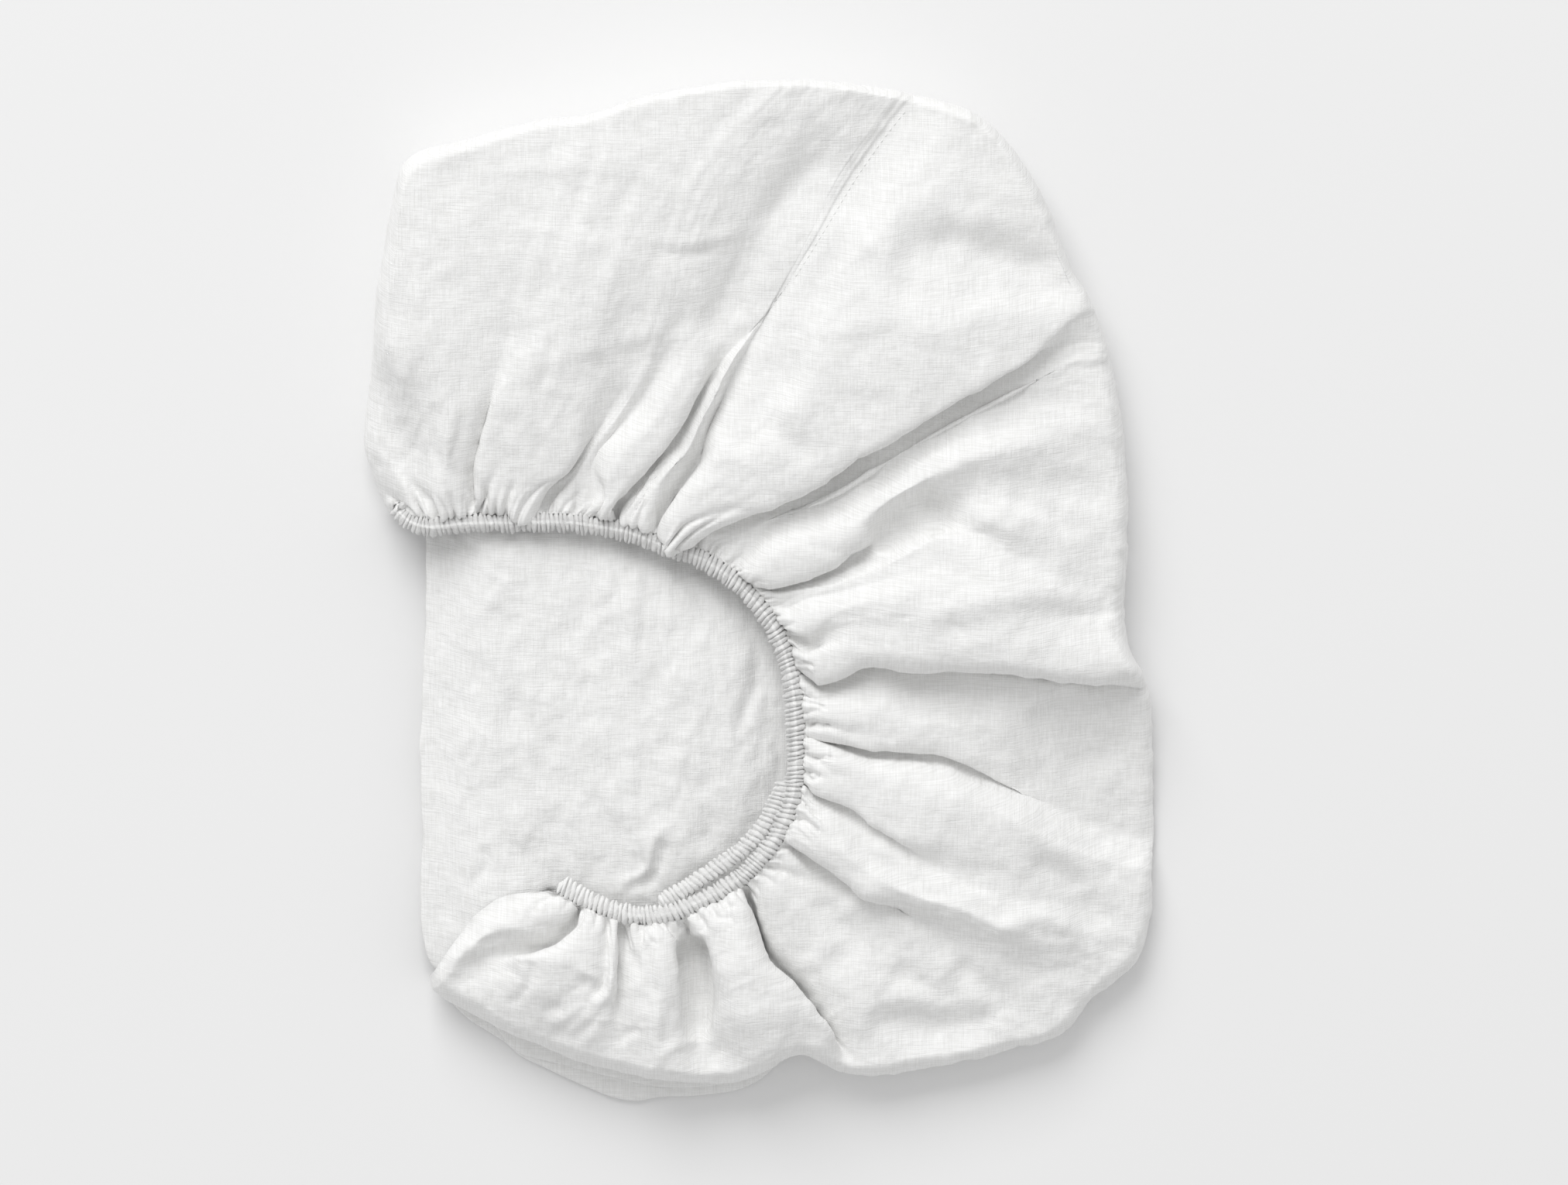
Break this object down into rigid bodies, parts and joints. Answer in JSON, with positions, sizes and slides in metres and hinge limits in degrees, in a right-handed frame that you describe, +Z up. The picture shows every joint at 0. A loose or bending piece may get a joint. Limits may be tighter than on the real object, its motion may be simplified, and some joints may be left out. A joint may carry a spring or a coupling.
{
  "type": "folded linen fitted sheet",
  "caption": "White linen fitted cot sheet folded into a flat bundle, with its skirt puffed round a folded panel and its elastic edge drawn into a C-shaped gathered hem.",
  "frame": {"origin": "centre of the bundle's bounding box, on the surface that it lies on", "axes": "+Y along the longer side, towards the large puffed lobes; +X towards the gathered skirt, away from the straight folded edge; +Z up, away from the surface"},
  "size_m": [0.3092, 0.3966, 0.048],
  "materials": {
    "linen": "washed plain-weave linen, matt with a faint sheen"
  },
  "bodies": {
    "root": {"sheet": "linen"}
  },
  "joints": []
}
